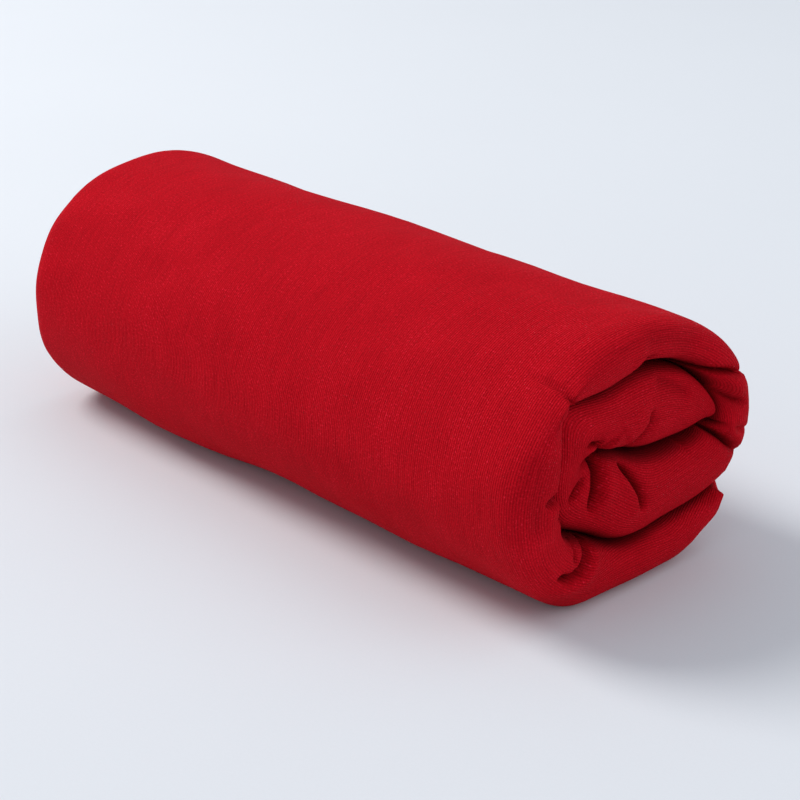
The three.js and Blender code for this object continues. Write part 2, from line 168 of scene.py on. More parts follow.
def length_property(name, description, default):
    """A length that the sidebar shows."""
    return bpy.props.FloatProperty(
        name=name, description=description, default=default, unit="LENGTH", subtype="DISTANCE"
    )


class BolsterSizes(bpy.types.PropertyGroup):
    """Sizes of the roll, its ply and its knit."""

    width: length_property("Width", "Width of the roll", 138 * MM)
    height: length_property("Height", "Height of the roll", 110 * MM)
    pad: length_property("Pad", "Thickness of the first turn", 24 * MM)
    pressed: length_property("Pressed pad", "Thickness of the first turn past its top", 18 * MM)
    core: length_property("Core", "Thickness of the second turn at its fold", 30 * MM)
    ply_gap: length_property("Ply gap", "Gap between one turn and the next", 0.3 * MM)
    near_round: length_property("Near end", "How far the near end of the ply rounds", 15 * MM)
    far_round: length_property("Far end", "How far the far end of the ply rounds", 15 * MM)
    knit_pitch: length_property("Knit pitch", "Width of one column of stitches", 1.03 * MM)
    stitch_pitch: length_property("Stitch pitch", "Length of a stitch of the seam", 3.1 * MM)


class BolsterColours(bpy.types.PropertyGroup):
    """Colours of the finishes."""

    jersey: colour_property("Jersey", "Cotton jersey of the cover", (0.60, 0.0035, 0.0125))
    jersey_deep: colour_property("Jersey grooves", "Jersey between its ribs", (0.27, 0.001, 0.0045))
    # Painted highlight: the colour of the glints painted on single loops of the knit.
    jersey_glint: colour_property("Jersey yarn", "Loops that catch the light", (0.88, 0.022, 0.055))
    cotton: colour_property("Cotton", "Woven casing of the pad", (0.82, 0.78, 0.70))
    wadding: colour_property("Wadding", "Fibre round the foam", (0.90, 0.89, 0.86))
    foam: colour_property("Foam", "Foam of the pad", (0.86, 0.72, 0.32))
    tape: colour_property("Zip tape", "Woven tape of the zip", (0.33, 0.006, 0.014))
    nylon: colour_property("Zip coil", "Nylon of the zip's coils", (0.28, 0.006, 0.014))
    zinc: colour_property("Zip metal", "Cast zinc of the slider and stops", (0.60, 0.61, 0.63))
    thread: colour_property("Thread", "Topstitching", (0.42, 0.008, 0.018))
    label: colour_property("Label", "Satin care label", (0.88, 0.88, 0.86))
    floor: colour_property("Floor", "Floor under the roll", (0.74, 0.76, 0.79))


# ---- The spiral -----------------------------------------------------------------------------


def smooth(t):
    """0 up to t = 0 and 1 from t = 1, with an even curve between them."""
    t = np.clip(t, 0.0, 1.0)
    return t * t * (3 - 2 * t)


def wave(t):
    return np.sin(2 * np.pi * t)


def hump(values, middle, reach, power=2):
    """1 at the middle, falling away to 0 past the reach."""
    return np.exp(-(((values - middle) / reach) ** power))


class Spiral:
    """The section of the roll: where the faces of its ply run, as (Y, Z) over the sweep."""

    def __init__(self, sizes):
        self.half_width = sizes.width / 2
        self.half_height = (sizes.height + ROLL_SINK) / 2
        self.centre = sizes.height - self.half_height
        self.pad = sizes.pad
        self.pressed = sizes.pressed
        self.core = sizes.core
        self.gap = sizes.ply_gap

    def first_thickness(self, sweep):
        filled = np.sin(np.radians(90 * np.clip(sweep / FILL_SWEEP, 0, 1)))
        full = FREE_EDGE_THICKNESS + (self.pad - FREE_EDGE_THICKNESS) * filled
        pressed = smooth((sweep - PRESSED_FROM) / (PRESSED_TO - PRESSED_FROM))
        return full - (self.pad - self.pressed) * pressed

    def inset(self, sweep):
        sweep = np.asarray(sweep, float)
        tucked = smooth((sweep - TUCK_FROM) / (TURN - TUCK_FROM))
        first = (FREE_EDGE_THICKNESS + self.gap) * tucked
        under = np.clip(sweep - TURN, 0, None)
        tucked_again = smooth((under - TUCK_FROM) / (TURN - TUCK_FROM))
        outer = (FREE_EDGE_THICKNESS + self.gap) * tucked_again
        second = outer + self.first_thickness(under) + self.gap
        return np.where(sweep < TURN, first, second)

    def oval(self, sweep, centre, half_width, half_height):
        angle = np.radians(FREE_EDGE_AT - np.asarray(sweep, float))
        y = AXIS_Y + centre + half_width * np.cos(angle)
        z = self.centre + half_height * np.sin(angle)
        return np.stack([y, z], axis=-1)

    def outer(self, sweep):
        sweep = np.asarray(sweep, float)
        inset = self.inset(sweep)
        place = self.oval(sweep, 0, self.half_width - inset, self.half_height - inset)
        # The floor flattens the underside with a soft corner.
        z = place[..., 1]
        corner = 2.5 * MM
        flattened = (z + np.sqrt(z * z + corner * corner)) / 2 - corner / 4
        place[..., 1] = np.where(sweep < TURN, np.maximum(flattened, 0), z)
        return self.on_panel(sweep, self.settled(place))

    def settled(self, place):
        """Moves places where the soft inside of the roll has settled. Its outline stays."""
        from_axis = place - np.array([0.0, self.centre])
        out = np.hypot(from_axis[..., 0] / self.half_width, from_axis[..., 1] / self.half_height)
        share = 1 - smooth((out - SETTLED_WITHIN) / (1 - SETTLED_WITHIN))
        for at, move, reach in SETTLED:
            away = np.linalg.norm(from_axis - np.array(at) * MM, axis=-1)
            place = place + (hump(away, 0, reach * MM) * share)[..., None] * np.array(move) * MM
        return place

    def on_panel(self, sweep, place):
        """The zip is sewn into a flat panel near the free edge."""
        ends = self.panel_ends()
        share = (sweep - ZIP_PANEL_FROM) / (ZIP_PANEL_TO - ZIP_PANEL_FROM)
        flat = ends[0] + (ends[1] - ends[0]) * share[..., None]
        weight = smooth((sweep + 1) / 5) * (1 - smooth((sweep - 23) / 9))
        weight = np.where(sweep < TURN, weight, 0.0)[..., None]
        return place * (1 - weight) + flat * weight

    def panel_ends(self):
        ends = self.oval([ZIP_PANEL_FROM, ZIP_PANEL_TO], 0, self.half_width, self.half_height)
        ends[:, 1] = np.maximum(ends[:, 1], 0)
        return ends

    def inner(self, sweep):
        sweep = np.asarray(sweep, float)
        depth = self.inset(sweep) + self.first_thickness(sweep)
        first = self.oval(sweep, 0, self.half_width - depth, self.half_height - depth)
        near = self.half_width - float(self.first_thickness(SLIT_FROM))
        fold = self.core + self.gap - near
        slit = self.oval(sweep, (near + fold) / 2, (near - fold) / 2, CORE_SLIT / 2)
        return self.settled(np.where((sweep < SLIT_FROM)[..., None], first, slit))


def zip_frame(spiral):
    """Turns the zip's own frame into the roll's: X along the roll, Z out of the cover."""
    start, end = spiral.panel_ends()
    y_axis = (end - start) / np.linalg.norm(end - start)
    origin = start + y_axis * ZIP_FROM_PANEL_EDGE
    y = Vector((0, y_axis[0], y_axis[1]))
    z = Vector((1, 0, 0)).cross(y)
    columns = Matrix((Vector((1, 0, 0)), y, z)).transposed().to_4x4()
    return Matrix.Translation((0, origin[0], origin[1])) @ columns


# ---- The ply --------------------------------------------------------------------------------


def ply_sweeps(start, stop, step, extra=()):
    """The sweeps of a ply's rows, closer together where it rounds over at its ends."""
    count = max(2, int(round((stop - start) / step)))
    rows = np.linspace(start, stop, count + 1)
    rows = np.concatenate([rows, [s for s in extra if start < s < stop]])
    return np.unique(np.round(rows, 4))


def end_cap(power, steps):
    """Even steps round an end: how far out each is and how far across the ply, from 1 to -1."""
    turn = np.linspace(math.pi / 2, -math.pi / 2, 4001)
    out = np.abs(np.cos(turn)) ** (2 / power)
    across = np.sign(np.sin(turn)) * np.abs(np.sin(turn)) ** (2 / power)
    length = np.concatenate([[0], np.cumsum(np.hypot(np.diff(out), np.diff(across)))])
    even = np.linspace(0, length[-1], steps + 2)[1:-1]
    return np.interp(even, length, out), np.interp(even, length, across)


def flat_columns(half, spacing, extra=()):
    """Places along the flat of the ply, closer together towards both ends."""
    count = int(2 * half / spacing)
    even = np.linspace(-1, 1, count + 1)
    places = half * np.sin(even * math.pi / 2 * 0.86) / math.sin(math.pi / 2 * 0.86)
    return np.unique(np.round(np.concatenate([places, extra]), 6))


def grid_faces(rows, columns):
    """Quads of a grid whose rows are closed loops."""
    i, j = np.meshgrid(np.arange(rows - 1), np.arange(columns), indexing="ij")
    after = (j + 1) % columns
    quads = np.stack(
        [i * columns + j, i * columns + after, (i + 1) * columns + after, (i + 1) * columns + j],
        axis=-1,
    )
    return quads.reshape(-1, 4)


def cap_faces(first, columns, flat, steps, flip):
    """Quads that close the end of a ply, from its outer face straight across to its inner."""
    loop = [first + k for k in range(columns)]
    outer = loop[:flat]
    near = loop[flat : flat + steps[0]]
    inner = loop[flat + steps[0] : 2 * flat + steps[0]]
    far = loop[2 * flat + steps[0] :]
    near_half, far_half = steps[0] - steps[0] // 2, steps[1] - steps[1] // 2
    # Both halves run from the far end to the near end.
    over = [*far[steps[1] // 2 :], *outer, *near[:near_half]]
    under = [*reversed(far[:far_half]), *reversed(inner), *reversed(near[steps[0] // 2 :])]
    faces = []
    for k in range(len(over) - 1):
        corners = [over[k], over[k + 1], under[k + 1], under[k]]
        unique = list(dict.fromkeys(corners))
        faces.append(unique if flip else unique[::-1])
    return faces


def mesh_object(name, places, faces, finish):
    """A smooth-shaded mesh with a finish, linked into the scene."""
    mesh = bpy.data.meshes.new(name)
    mesh.from_pydata(places.tolist(), [], [list(map(int, f)) for f in faces])
    mesh.validate()
    mesh.update()
    mesh.shade_smooth()
    obj = bpy.data.objects.new(name, mesh)
    bpy.context.scene.collection.objects.link(obj)
    mesh.materials.append(finish)
    return obj


def grid_normals(places):
    """Outward normals of a grid of places whose rows are closed loops."""
    along = np.gradient(places, axis=0)
    across = np.roll(places, -1, axis=1) - np.roll(places, 1, axis=1)
    normal = np.cross(across, along)
    size = np.linalg.norm(normal, axis=-1, keepdims=True)
    return normal / np.maximum(size, 1e-12)


class Crease:
    """A crease in an end of the roll: its line on the end, as (Y, height over the axis) in mm.

    It is pressed into the turns between two sweeps, by a depth and over a width. A lift raises
    the cloth on the left of the line, or on its right where it is negative. The crease fades
    out over the first and last shares of its line.
    """

    def __init__(self, line, depth, width, sweeps, lift=0.0, fades=(0.2, 0.2), end=1):
        self.line = np.array(line, float) * MM
        self.depth = depth * MM
        self.width = width * MM
        self.sweeps = sweeps
        self.lift = lift * MM
        self.fades = fades
        self.end = end

    def offset(self, sweep, places, centre):
        """How far each place moves out along its normal."""
        spot = places[..., 1:] - np.array([0, centre])
        nearest = np.full(spot.shape[:-1], 1.0)
        beside = np.zeros(spot.shape[:-1])
        taper = np.zeros(spot.shape[:-1])
        steps = np.linalg.norm(np.diff(self.line, axis=0), axis=1)
        whole = steps.sum()
        done = 0.0
        for start, end, step in zip(self.line[:-1], self.line[1:], steps):
            way = (end - start) / step
            along = np.clip((spot - start) @ way, 0, step)
            off = spot - (start + along[..., None] * way)
            distance = np.linalg.norm(off, axis=-1)
            closer = distance < nearest
            nearest = np.where(closer, distance, nearest)
            side = way[0] * off[..., 1] - way[1] * off[..., 0]
            beside = np.where(closer, side, beside)
            share = (done + along) / whole
            fade = smooth(share / self.fades[0]) * smooth((1 - share) / self.fades[1])
            taper = np.where(closer, fade, taper)
            done += step
        at_end = smooth((self.end * places[..., 0] - CREASES_FROM) / CREASES_FADE)
        low, high = self.sweeps
        within = smooth((sweep - low) / 6 + 1) * smooth((high - sweep) / 6 + 1)
        weight = taper * at_end * within[:, None]
        groove = -self.depth * np.exp(-nearest / self.width)
        far = nearest / (self.width * 1.7)
        ridge = abs(self.lift) * far * np.exp(1 - far) * (beside * np.sign(self.lift) > 0)
        return weight * (groove + ridge)


def inside_outline(places, spiral):
    """1 on the end of the roll, down to 0 at its outline."""
    from_axis = places[..., 1:] - np.array([0.0, spiral.centre])
    out = np.hypot(from_axis[..., 0] / spiral.half_width, from_axis[..., 1] / spiral.half_height)
    return 1 - smooth((out - 0.84) / 0.14)


def crease_way(places, inside):
    """The way that creases are pressed: in from the ends, and in from the roll's outside."""
    normal = grid_normals(places)
    straight = np.zeros_like(normal)
    straight[..., 0] = np.sign(places[..., 0])
    way = normal * (1 - inside[..., None]) + straight * inside[..., None]
    return way / np.maximum(np.linalg.norm(way, axis=-1, keepdims=True), 1e-9)


# Creases of the near end, from the top of the first turn round to the core.
CREASES = (
    Crease(
        [(-2, 39), (9, 39), (24, 35), (39, 29), (52, 25), (63, 22), (80, 19)],
        9, 1.5, (240, 345), -3, (0.1, 0.15),
    ),
    Crease([(-3, 39), (3, 43), (11, 44)], 4, 1.3, (228, 275), 0.8, (0.01, 0.6)),
    Crease([(30, 31), (42, 21), (55, 13), (70, 5)], 5.5, 2.0, (285, 352), 1.8, (0.2, 0.35)),
    Crease([(40, 6), (50, -2), (58, -9), (66, -16)], 10, 1.3, (300, 392), 2.6, (0.01, 0.45)),
    Crease([(54, 1), (62, -2), (74, -6)], 3.5, 1.5, (318, 372), 0.8, (0.3, 0.4)),
    Crease([(31, 4), (32, -1), (34, -6)], 5, 1.5, (355, 425), 0.8, (0.01, 0.6)),
    Crease(
        [(-20, 15), (-18, 9), (-18, 3), (-19, -1), (-21, -7), (-24, -14)],
        11, 1.5, (440, 575), 3.6, (0.01, 0.3),
    ),
    Crease([(-8, 4), (-3, -3), (1, -10), (4, -20)], 9, 1.4, (400, 510), -2.4, (0.25, 0.15)),
    Crease([(-24, 4), (-30, -1), (-35, -7)], 5, 1.4, (440, 545), 1.2, (0.4, 0.4)),
    Crease([(-21, 16), (-25, 17), (-29, 16)], 5, 1.2, (505, 560), 1.0, (0.01, 0.5)),
    Crease([(-5, 8), (3, 12), (8, 16), (10, 23)], 6, 2.2, (560, 655), 2.4, (0.1, 0.4)),
    Crease([(12, 33), (22, 27), (32, 20)], 2.2, 3.6, (560, 660), 1.0),
    Crease([(-42, 3), (-47, 4), (-57, 4)], 8, 1.3, (130, 212), 2.0, (0.01, 0.35)),
    Crease([(-41, -2), (-44, -4), (-49, -4)], 6, 1.2, (120, 200), 1.4, (0.01, 0.4)),
    Crease(
        [(-23, -24), (-27, -29), (-32, -33), (-39, -33), (-48, -29)],
        10, 1.4, (62, 170), 3.2, (0.01, 0.25),
    ),
    Crease([(-33, -20), (-36, -25), (-33, -29)], 5, 1.3, (90, 170), -1.4, (0.01, 0.4)),
    Crease([(-42, 36), (-43, 43), (-42, 50)], 8, 1.3, (176, 235), 2.0, (0.01, 0.35)),
    Crease([(-58, 26), (-62, 8), (-60, -10)], 2.2, 6.0, (140, 225), 0.0),
    Crease([(-2, 50), (14, 49), (34, 41)], 1.6, 5.0, (225, 315), 0.0),
    # The far end is tucked in less tightly.
    Crease([(-44, 40), (-34, 36), (-24, 42)], 5.0, 1.8, (170, 262), 1.4, (0.2, 0.2), -1),
    Crease([(28, 34), (45, 27), (80, 20)], 8.0, 1.7, (265, 345), -2.4, (0.1, 0.3), -1),
    Crease([(42, 5), (56, -6), (80, -20)], 8.0, 1.6, (305, 385), 2.2, (0.05, 0.3), -1),
    Crease([(-18, 14), (-17, 2), (-20, -14)], 9.0, 1.6, (445, 570), 3.0, (0.05, 0.3), -1),
    Crease([(0, -2), (8, -14), (10, -26)], 7.0, 1.6, (400, 500), -2.0, (0.3, 0.2), -1),
    Crease([(-40, -4), (-58, -2)], 6.0, 1.5, (120, 212), 1.8, (0.05, 0.4), -1),
    Crease([(8, -34), (14, -42), (14, -52)], 5.0, 1.7, (35, 115), 1.6, (0.05, 0.4), -1),
    Crease([(-4, 8), (10, 14), (20, 26)], 5.0, 2.2, (550, 655), 2.0, (0.1, 0.4), -1),
)


def near_reach(sweep):
    """How far out the near end of the ply comes. It stands proud at the roll's front."""
    lip = hump(sweep, 160, 62, 4)
    right = hump(sweep, 325, 40)
    fold = hump(sweep, 500, 48, 4)
    core = smooth((sweep - 560) / 60)
    return NEAR_REACH + 4.0 * MM * lip + 1.5 * MM * right - 4.0 * MM * fold - 2.0 * MM * core


def far_reach(sweep):
    """How far out the far end of the ply comes."""
    swell = 0.9 * MM * wave(sweep / 230 + 0.1) + 0.6 * MM * wave(sweep / 97)
    return FAR_REACH + swell


def set_ends(sweep, places, side, spiral):
    """Gives the ends and the front of the roll the set of a real one, by moving the places."""
    lean_lip(sweep, places, side)
    from_axis = places[..., 1:] - np.array([0.0, spiral.centre])
    outward = from_axis / np.linalg.norm(from_axis, axis=-1, keepdims=True)
    open_corner(places, from_axis, spiral)
    plump_free_edge(sweep, places, side, outward)
    plump_side(sweep, places, side, outward)
    sag_front(sweep, places, side, outward)


def lean_lip(sweep, places, side):
    """At the front of the roll the first turn's end leans in over the second."""
    lip = smooth((sweep - 118) / 20) * (1 - smooth((sweep - 205) / 16))
    beyond = smooth((places[..., 0] - 147 * MM) / (8 * MM))
    inner = smooth((0.75 - side) / 1.5)
    places[..., 1] += 1.5 * MM * lip[:, None] * beyond * inner


def open_corner(places, from_axis, spiral):
    """The gap between the turns reaches up into its corner."""
    away = np.linalg.norm(from_axis - np.array([-38, 33]) * MM, axis=-1)
    corner = hump(away, 0, 12 * MM) * inside_outline(places, spiral)
    corner = corner * smooth((places[..., 0] - 136 * MM) / (14 * MM))
    places[..., 1:] += np.array([-6.0, 4.0]) * MM * corner[..., None]


def plump_free_edge(sweep, places, side, outward):
    """The free edge is plump beyond the zip, and its tips are drawn in."""
    beyond_zip = smooth((np.abs(places[..., 0]) - 135 * MM) / (10 * MM))
    plump = hump(sweep, 13, 11)[:, None] * beyond_zip * smooth((side + 0.3) / 1.3)
    places[..., 1:] += outward * (3.6 * MM * plump)[..., None]
    corner = smooth((np.abs(places[..., 0]) - 142 * MM) / (11 * MM))
    tip = np.clip(1 - sweep / 14, 0, 1)[:, None] * corner
    places[..., 1] -= 6.5 * MM * tip
    places[..., 2] -= 2.0 * MM * tip


def plump_side(sweep, places, side, outward):
    """The side of the roll that lies on the free edge is plump at the near end."""
    full = hump(sweep, 336, 15)[:, None] * smooth((side + 0.5) / 1.5)
    near_half = smooth((places[..., 0] - 90 * MM) / (50 * MM))
    places[..., 1:] += outward * (3.2 * MM * full * near_half)[..., None]


def sag_front(sweep, places, side, outward):
    """The far half sags outwards at the front, low down."""
    x = places[..., 0]
    sag = smooth((20 * MM - x) / (110 * MM)) * (1 - 0.75 * smooth((-x - 70 * MM) / (80 * MM)))
    low = hump(sweep, 112, 25)[:, None] * sag
    places[..., 1:] += outward * (5.0 * MM * low * smooth((side + 0.5) / 1.5))[..., None]


def undulation(sweep, x):
    """The fill lies a little unevenly under the cover."""
    u = sweep[:, None]
    v = x / MM
    lumps = 0.50 * wave(u / 131 + v / 190 + 0.15) + 0.34 * wave(u / 74 - v / 121 + 0.4)
    lumps = lumps + 0.22 * wave(u / 47 + v / 73 + 0.7) + 0.16 * wave(u / 29 - v / 57)
    return lumps * MM


def settle_fill(ply):
    """The places of a layer, moved with the uneven fill."""
    rows, places = ply.sweeps, ply.places
    on_outside = smooth((ply.side + 1) * 1.2)
    resting = smooth(places[..., 2] / (9 * MM))
    zip_clear = smooth((rows - ZIP_CLEAR_OF_FILL) / 20)[:, None]
    first_turn = 1 - smooth((rows - 330) / 20)[:, None]
    lumps = undulation(rows, places[..., 0]) * on_outside * resting * zip_clear * first_turn
    return places + grid_normals(places) * lumps[..., None]


class Ply:
    """A closed layer of the rolled pillow, as a grid of places."""

    def __init__(self, spiral, sweeps, flat, steps, ends, wall, rounding, power=2.5, room=0.0):
        near, far = ends
        outer_wall = wall + room
        self.sweeps = sweeps
        self.flat = len(flat)
        self.steps = steps
        outer = spiral.outer(sweeps)
        inner = spiral.inner(sweeps)
        thick = np.linalg.norm(outer - inner, axis=1)
        over = np.minimum(outer_wall / thick, 0.49)
        under = np.minimum(wall / thick, 0.49)
        half = flat[-1]
        ones = np.ones(len(sweeps))
        columns = []
        near_flat = near - rounding[0]
        far_flat = far - rounding[1]
        for x in flat:
            reach = near_flat if x > 0 else far_flat
            columns.append((x * reach / half, ones))
        for o, a in zip(*end_cap(power, steps[0])):
            columns.append((near_flat + rounding[0] * o, a * ones))
        for x in flat[::-1]:
            reach = near_flat if x > 0 else far_flat
            columns.append((x * reach / half, -ones))
        for o, a in zip(*end_cap(power, steps[1])):
            columns.append((-far_flat - rounding[1] * o, -a * ones))
        x = np.stack([c[0] for c in columns], axis=1)
        side = np.stack([c[1] for c in columns], axis=1)
        depth = over[:, None] + (1 - over - under)[:, None] * (1 - side) / 2
        section = outer[:, None] * (1 - depth[..., None]) + inner[:, None] * depth[..., None]
        self.places = np.concatenate([x[..., None], section], axis=-1)
        self.side = side

    def close(self, start_run, end_run, power=2.2):
        """Rounds the ply over at its two ends, within a run of sweep."""
        sweeps = self.sweeps
        from_start = np.clip((sweeps - sweeps[0]) / start_run, 0, 1)
        to_end = np.clip((sweeps[-1] - sweeps) / end_run, 0, 1)
        full = (1 - (1 - from_start) ** power) ** (1 / power)
        full = full * (1 - (1 - to_end) ** power) ** (1 / power)
        full = np.maximum(full, 0.06)
        mirror = self.mirror()
        middle = (self.places + self.places[:, mirror]) / 2
        self.places = middle + (self.places - middle) * full[:, None, None]
        # The corners of the ply round off too.
        pull = (1 - full)[:, None] ** 2 * 9 * MM
        x = self.places[..., 0]
        self.places[..., 0] = x - np.sign(x) * pull * smooth((np.abs(x) - 60 * MM) / (80 * MM))

    def mirror(self):
        """The column across the ply from each column."""
        flat, (near_steps, far_steps) = self.flat, self.steps
        outer = np.arange(flat)
        near = flat + np.arange(near_steps)
        inner = flat + near_steps + np.arange(flat)
        far = 2 * flat + near_steps + np.arange(far_steps)
        return np.concatenate([inner[::-1], near[::-1], outer[::-1], far[::-1]])

    def faces(self):
        rows, columns = self.places.shape[:2]
        quads = grid_faces(rows, columns)
        first = cap_faces(0, columns, self.flat, self.steps, False)
        last = cap_faces((rows - 1) * columns, columns, self.flat, self.steps, True)
        return [*quads.tolist(), *first, *last]

    def cloth_places(self):
        """Where each place lies in the flat cloth: across the knit, and along it."""
        step = np.linalg.norm(np.diff(self.places, axis=1), axis=-1)
        around = np.concatenate([np.zeros((len(self.sweeps), 1)), np.cumsum(step, axis=1)], axis=1)
        middle = self.flat // 2
        closing = np.linalg.norm(self.places[:, 0] - self.places[:, -1], axis=-1)
        loop = around[:, -1] + closing
        inside = self.flat + self.steps[0] + self.flat // 2
        start = around[:, middle].copy()
        around[:, inside:] -= loop[:, None]
        around = around - start[:, None]
        outer = self.places[:, middle]
        along = np.linalg.norm(np.diff(outer, axis=0), axis=-1)
        along = np.concatenate([[0], np.cumsum(along)])
        return np.stack([around, np.repeat(along[:, None], around.shape[1], axis=1)], axis=-1)


def lay_cloth(obj, cloth):
    """Stores the place in the flat cloth on the mesh, so that the knit follows the ply."""
    layer = obj.data.attributes.new("cloth", "FLOAT_VECTOR", "POINT")
    flat = np.concatenate([cloth, np.zeros((len(cloth), 1))], axis=1)
    layer.data.foreach_set("vector", flat.astype(np.float32).ravel())


def zip_room(sweep):
    """How much deeper the pad lies under the zip's pocket."""
    return (TROUGH_DEPTH + 0.3 * MM) * (1 - smooth((sweep - ZIP_PANEL_TO) / 16))


def lining(spiral, wall, start, stop, rounding):
    """A layer inside the cover, a wall's depth in from its outside on all sides."""
    extra = (start + 0.6, start + 1.8, stop - 1.8, stop - 0.6)
    rows = ply_sweeps(start, stop, LINING_STEP, extra)
    rounding = tuple(max(r - wall, 4 * MM) for r in rounding)
    ends = (near_reach(rows) - wall - SLACK[0], far_reach(rows) - wall - SLACK[1])
    flat = flat_columns(FLAT_HALF, FLAT_SPACING)
    ply = Ply(spiral, rows, flat, LINING_CAP_STEPS, ends, wall, rounding, 2.5, zip_room(rows))
    ply.close(4.0, 8.0)
    ply.places = settle_fill(ply)
    return ply


def shell_object(name, places, ply, inside, finish):
    """A layer with its hollow, as one piece."""
    count = places.shape[0] * places.shape[1]
    hollow = [[count + corner for corner in reversed(face)] for face in inside.faces()]
    both = np.concatenate([places.reshape(-1, 3), inside.places.reshape(-1, 3)])
    return mesh_object(name, both, [*ply.faces(), *hollow], finish)


# ---- Small pieces ---------------------------------------------------------------------------


def rounded_bar(low, high, corner, spacing=4 * MM, bow=None, power=3.0):
    """A bar along X with rounded sides and ends, as places and quads. bow lifts it along X."""
    low, high = np.array(low), np.array(high)
    count = max(2, int((high[0] - low[0] - 2 * corner) / spacing))
    ends = corner * (1 - np.cos(np.linspace(0, math.pi / 2, 5)))
    xs = np.concatenate([low[0] + ends, np.linspace(low[0] + corner, high[0] - corner, count)[1:-1]])
    xs = np.concatenate([xs, high[0] - ends[::-1]])
    into = np.minimum(xs - low[0], high[0] - xs)
    shrink = np.sqrt(np.clip(1 - (1 - np.clip(into / corner, 0, 1)) ** 2, 0.02, 1))
    turn = np.linspace(0, 2 * math.pi, 25)[:-1]
    around_y = np.sign(np.cos(turn)) * np.abs(np.cos(turn)) ** (2 / power)
    around_z = np.sign(np.sin(turn)) * np.abs(np.sin(turn)) ** (2 / power)
    middle, half = (low + high) / 2, (high - low) / 2
    inner = half[1:] - np.minimum(corner, half[1:])
    scale = inner + (half[1:] - inner) * shrink[:, None]
    y = middle[1] + scale[:, :1] * around_y
    z = middle[2] + scale[:, 1:] * around_z
    if bow is not None:
        z = z + bow(xs)[:, None]
    places = np.stack([np.repeat(xs[:, None], len(turn), axis=1), y, z], axis=-1)
    rows, columns = places.shape[:2]
    faces = grid_faces(rows, columns).tolist()
    faces.append(list(reversed(range(columns))))
    faces.append([(rows - 1) * columns + k for k in range(columns)])
    return places.reshape(-1, 3), faces


def tube(line, radius, sides=8, taper=2):
    """A closed tube along a line of places, thinner over the taper at each end."""
    line = np.array(line)
    way = np.gradient(line, axis=0)
    way /= np.linalg.norm(way, axis=1, keepdims=True)
    up = np.array([0.03, 0.2, 1.0])
    first = np.cross(way, up)
    first /= np.linalg.norm(first, axis=1, keepdims=True)
    second = np.cross(way, first)
    turn = np.linspace(0, 2 * math.pi, sides + 1)[:-1]
    thick = np.full(len(line), radius)
    fade = np.sqrt(1 - (1 - np.linspace(0, 1, taper + 2)[1:]) ** 2 * 0.85)
    thick[: taper + 1] *= fade
    thick[-taper - 1 :] *= fade[::-1]
    ring = first[:, None] * np.cos(turn)[None, :, None]
    ring = ring + second[:, None] * np.sin(turn)[None, :, None]
    places = line[:, None] + ring * thick[:, None, None]
    rows, columns = places.shape[:2]
    faces = grid_faces(rows, columns).tolist()
    faces.append(list(reversed(range(columns))))
    faces.append([(rows - 1) * columns + k for k in range(columns)])
    return places.reshape(-1, 3), faces


def joined(parts):
    """Several meshes as one."""
    places, faces, count = [], [], 0
    for some_places, some_faces in parts:
        places.append(some_places)
        faces.extend([[count + corner for corner in face] for face in some_faces])
        count += len(some_places)
    return np.concatenate(places), faces


def coil_line(side):
    """One edge of the zip: a coil of nylon, with its heads towards the middle of the zip."""
    pitch = 1.3 * MM
    wire = 0.3 * MM
    turns = int(2 * CHAIN_END / pitch)
    t = np.linspace(0, turns, turns * 14 + 1)
    if side < 0:
        t = t[::-1]
    inner, outer = 0.5 * MM + wire, CHAIN_HALF_WIDTH - wire
    middle, half = (inner + outer) / 2, (outer - inner) / 2
    round_y = np.sign(np.cos(2 * np.pi * t)) * np.abs(np.cos(2 * np.pi * t)) ** 0.8
    height = (COIL_TOP - COIL_BOTTOM) / 2 - wire
    x = -CHAIN_END + wire + t * (2 * CHAIN_END - 2 * wire) / turns
    x = x + (0.25 * pitch if side > 0 else -0.25 * pitch) * 0.3
    y = side * (middle - half * round_y)
    z = (COIL_TOP + COIL_BOTTOM) / 2 + height * np.sin(2 * np.pi * t)
    return np.stack([x, y, z], axis=-1), wire


# ---- Finishes -------------------------------------------------------------------------------

# Sockets of a Mix node that mixes colours. Its sockets for numbers and vectors come before.
MIX_SHARE, MIX_FIRST, MIX_SECOND = 0, 6, 7
MIX_COLOUR = 2


class Value:
    """A socket of a finish's node tree. Arithmetic on it adds Math nodes."""

    def __init__(self, finish, socket):
        self.finish = finish
        self.socket = socket

    def maths(self, operation, *values):
        return self.finish.node("ShaderNodeMath", {"operation": operation}, dict(enumerate(values)))

    def __add__(self, other):
        return self.maths("ADD", self, other)

    def __radd__(self, other):
        return self.maths("ADD", other, self)

    def __sub__(self, other):
        return self.maths("SUBTRACT", self, other)

    def __rsub__(self, other):
        return self.maths("SUBTRACT", other, self)

    def __mul__(self, other):
        return self.maths("MULTIPLY", self, other)

    def __rmul__(self, other):
        return self.maths("MULTIPLY", other, self)

    def __truediv__(self, other):
        return self.maths("DIVIDE", self, other)

    def __pow__(self, other):
        return self.maths("POWER", self, other)

    def __abs__(self):
        return self.maths("ABSOLUTE", self)

    def fraction(self):
        return self.maths("FRACT", self)

    def sine(self):
        return self.maths("SINE", self)

    def clamped(self):
        return self.finish.node("ShaderNodeClamp", {}, {"Value": self})


